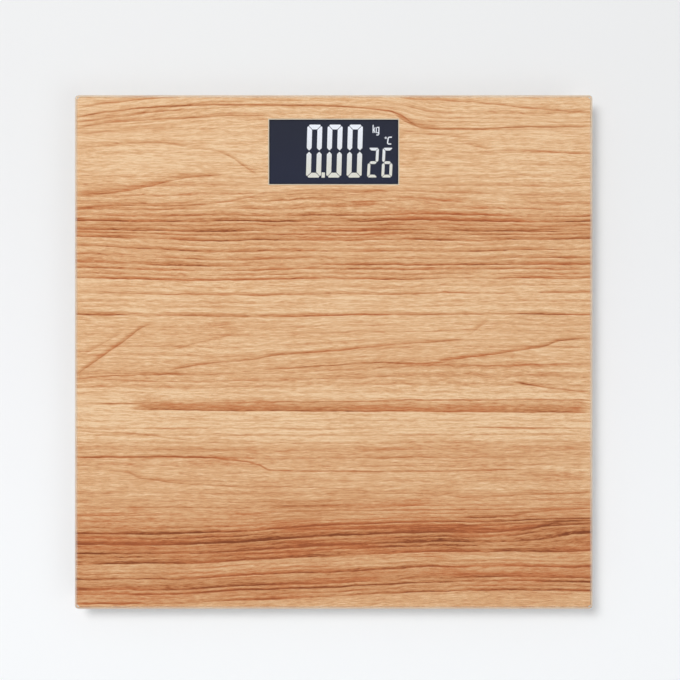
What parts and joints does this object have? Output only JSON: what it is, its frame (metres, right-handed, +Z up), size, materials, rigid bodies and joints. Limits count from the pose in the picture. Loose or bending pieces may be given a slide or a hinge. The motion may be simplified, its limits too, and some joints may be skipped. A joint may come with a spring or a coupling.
{
  "type": "digital bathroom scale",
  "caption": "Slim digital bathroom scale: glass platform over a wood-grain print, flush backlit display window, moulded base tray on sprung load-cell feet, battery door and unit button.",
  "frame": {"origin": "on the floor under the centre of the platform", "axes": "+Z up; +X to the right and +Y towards the display, seen by someone looking down at the display the right way up"},
  "size_m": [0.28, 0.278, 0.024],
  "materials": {
    "platform_glass": "polished, with ground edges",
    "wood_print": "printed wood grain, satin",
    "foam_tape": "closed-cell foam, matt",
    "foam_pad": "closed-cell foam, matt",
    "tray_plastic": "fine spark-eroded texture",
    "label_film": "satin",
    "battery_jacket": "printed sleeve, gloss",
    "spring_wire": "nickel-plated",
    "contact_metal": "nickel-plated",
    "button_plastic": "satin",
    "plunger_plastic": "satin",
    "switch_can": "tinned",
    "board_laminate": "solder mask",
    "chip_resin": "domed epoxy",
    "capacitor_sleeve": "shrink sleeve",
    "crystal_can": "satin",
    "thermistor_bead": "epoxy",
    "screw_steel": "zinc-plated",
    "display_glass": "polished",
    "polarizer": "satin film",
    "holder_plastic": "moulded",
    "gasket_foam": "matt",
    "zebra_rubber": "striped silicone",
    "guide_acrylic": "clear, dotted underneath",
    "optical_film": "white film",
    "led_package": "phosphor lens",
    "wire_insulation": "PVC",
    "cell_steel": "zinc-plated, stamped",
    "gauge_resin": "silicone resin",
    "retainer_plastic": "moulded",
    "foot_plastic": "moulded",
    "foot_rubber": "moulded rings"
  },
  "bodies": {
    "base": {"glass_platform": "platform_glass", "woodgrain_film": "wood_print", "bonding_tape": "foam_tape", "support_pads": "foam_pad", "base_tray": "tray_plastic", "rating_label": "label_film", "battery_front": "battery_jacket", "battery_rear": "battery_jacket", "battery_springs": "spring_wire", "contact_negative": "contact_metal", "contact_positive": "contact_metal", "contact_bridge": "contact_metal", "tact_switch": "switch_can", "main_board": "board_laminate", "controller_chip": "chip_resin", "capacitors": "capacitor_sleeve", "crystal": "crystal_can", "thermistor": "thermistor_bead", "board_screws": "screw_steel", "retainer_screws": "screw_steel", "lcd_glass": "display_glass", "front_polarizer": "polarizer", "rear_polarizer": "polarizer", "lcd_holder": "holder_plastic", "lcd_gasket": "gasket_foam", "zebra_strip": "zebra_rubber", "light_guide": "guide_acrylic", "backlight_diffuser": "optical_film", "backlight_reflector": "optical_film", "backlight_leds": "led_package", "battery_leads": "wire_insulation", "sensor_lead_front_left": "wire_insulation", "sensor_lead_front_right": "wire_insulation", "sensor_lead_rear_left": "wire_insulation", "sensor_lead_rear_right": "wire_insulation", "load_cell_front_left": "cell_steel", "load_cell_front_right": "cell_steel", "load_cell_rear_left": "cell_steel", "load_cell_rear_right": "cell_steel", "gauge_cover_front_left": "gauge_resin", "gauge_cover_front_right": "gauge_resin", "gauge_cover_rear_left": "gauge_resin", "gauge_cover_rear_right": "gauge_resin", "cell_retainer_front_left": "retainer_plastic", "cell_retainer_front_right": "retainer_plastic", "cell_retainer_rear_left": "retainer_plastic", "cell_retainer_rear_right": "retainer_plastic"},
    "foot_assembly_front_left": {"foot_front_left": "foot_plastic", "foot_pad_front_left": "foot_rubber"},
    "foot_assembly_front_right": {"foot_front_right": "foot_plastic", "foot_pad_front_right": "foot_rubber"},
    "foot_assembly_rear_left": {"foot_rear_left": "foot_plastic", "foot_pad_rear_left": "foot_rubber"},
    "foot_assembly_rear_right": {"foot_rear_right": "foot_plastic", "foot_pad_rear_right": "foot_rubber"},
    "battery_cover": {"battery_door": "tray_plastic", "door_latch": "tray_plastic"},
    "unit_switch": {"unit_button": "button_plastic", "switch_plunger": "plunger_plastic"}
  },
  "joints": [
    {"name": "foot_press_front_left", "type": "slide", "parent": "base", "child": "foot_assembly_front_left", "axis": [0, 0, 1], "range_m": [0, 0.0007], "stiffness_N_per_m": 6000, "springref_m": -0.0006, "deforming": ["load_cell_front_left"]},
    {"name": "foot_press_front_right", "type": "slide", "parent": "base", "child": "foot_assembly_front_right", "axis": [0, 0, 1], "range_m": [0, 0.0007], "stiffness_N_per_m": 6000, "springref_m": -0.0006, "deforming": ["load_cell_front_right"]},
    {"name": "foot_press_rear_left", "type": "slide", "parent": "base", "child": "foot_assembly_rear_left", "axis": [0, 0, 1], "range_m": [0, 0.0007], "stiffness_N_per_m": 6000, "springref_m": -0.0006, "deforming": ["load_cell_rear_left"]},
    {"name": "foot_press_rear_right", "type": "slide", "parent": "base", "child": "foot_assembly_rear_right", "axis": [0, 0, 1], "range_m": [0, 0.0007], "stiffness_N_per_m": 6000, "springref_m": -0.0006, "deforming": ["load_cell_rear_right"]},
    {"name": "battery_cover_hinge", "type": "hinge", "parent": "base", "child": "battery_cover", "pos_m": [-0.02695, 0.03665, 0.0055], "axis": [0, 1, 0], "range_deg": [0, 90], "deforming": ["door_latch"]},
    {"name": "unit_button_press", "type": "slide", "parent": "base", "child": "unit_switch", "axis": [0, 0, 1], "range_m": [0, 0.0005], "stiffness_N_per_m": 3000}
  ]
}
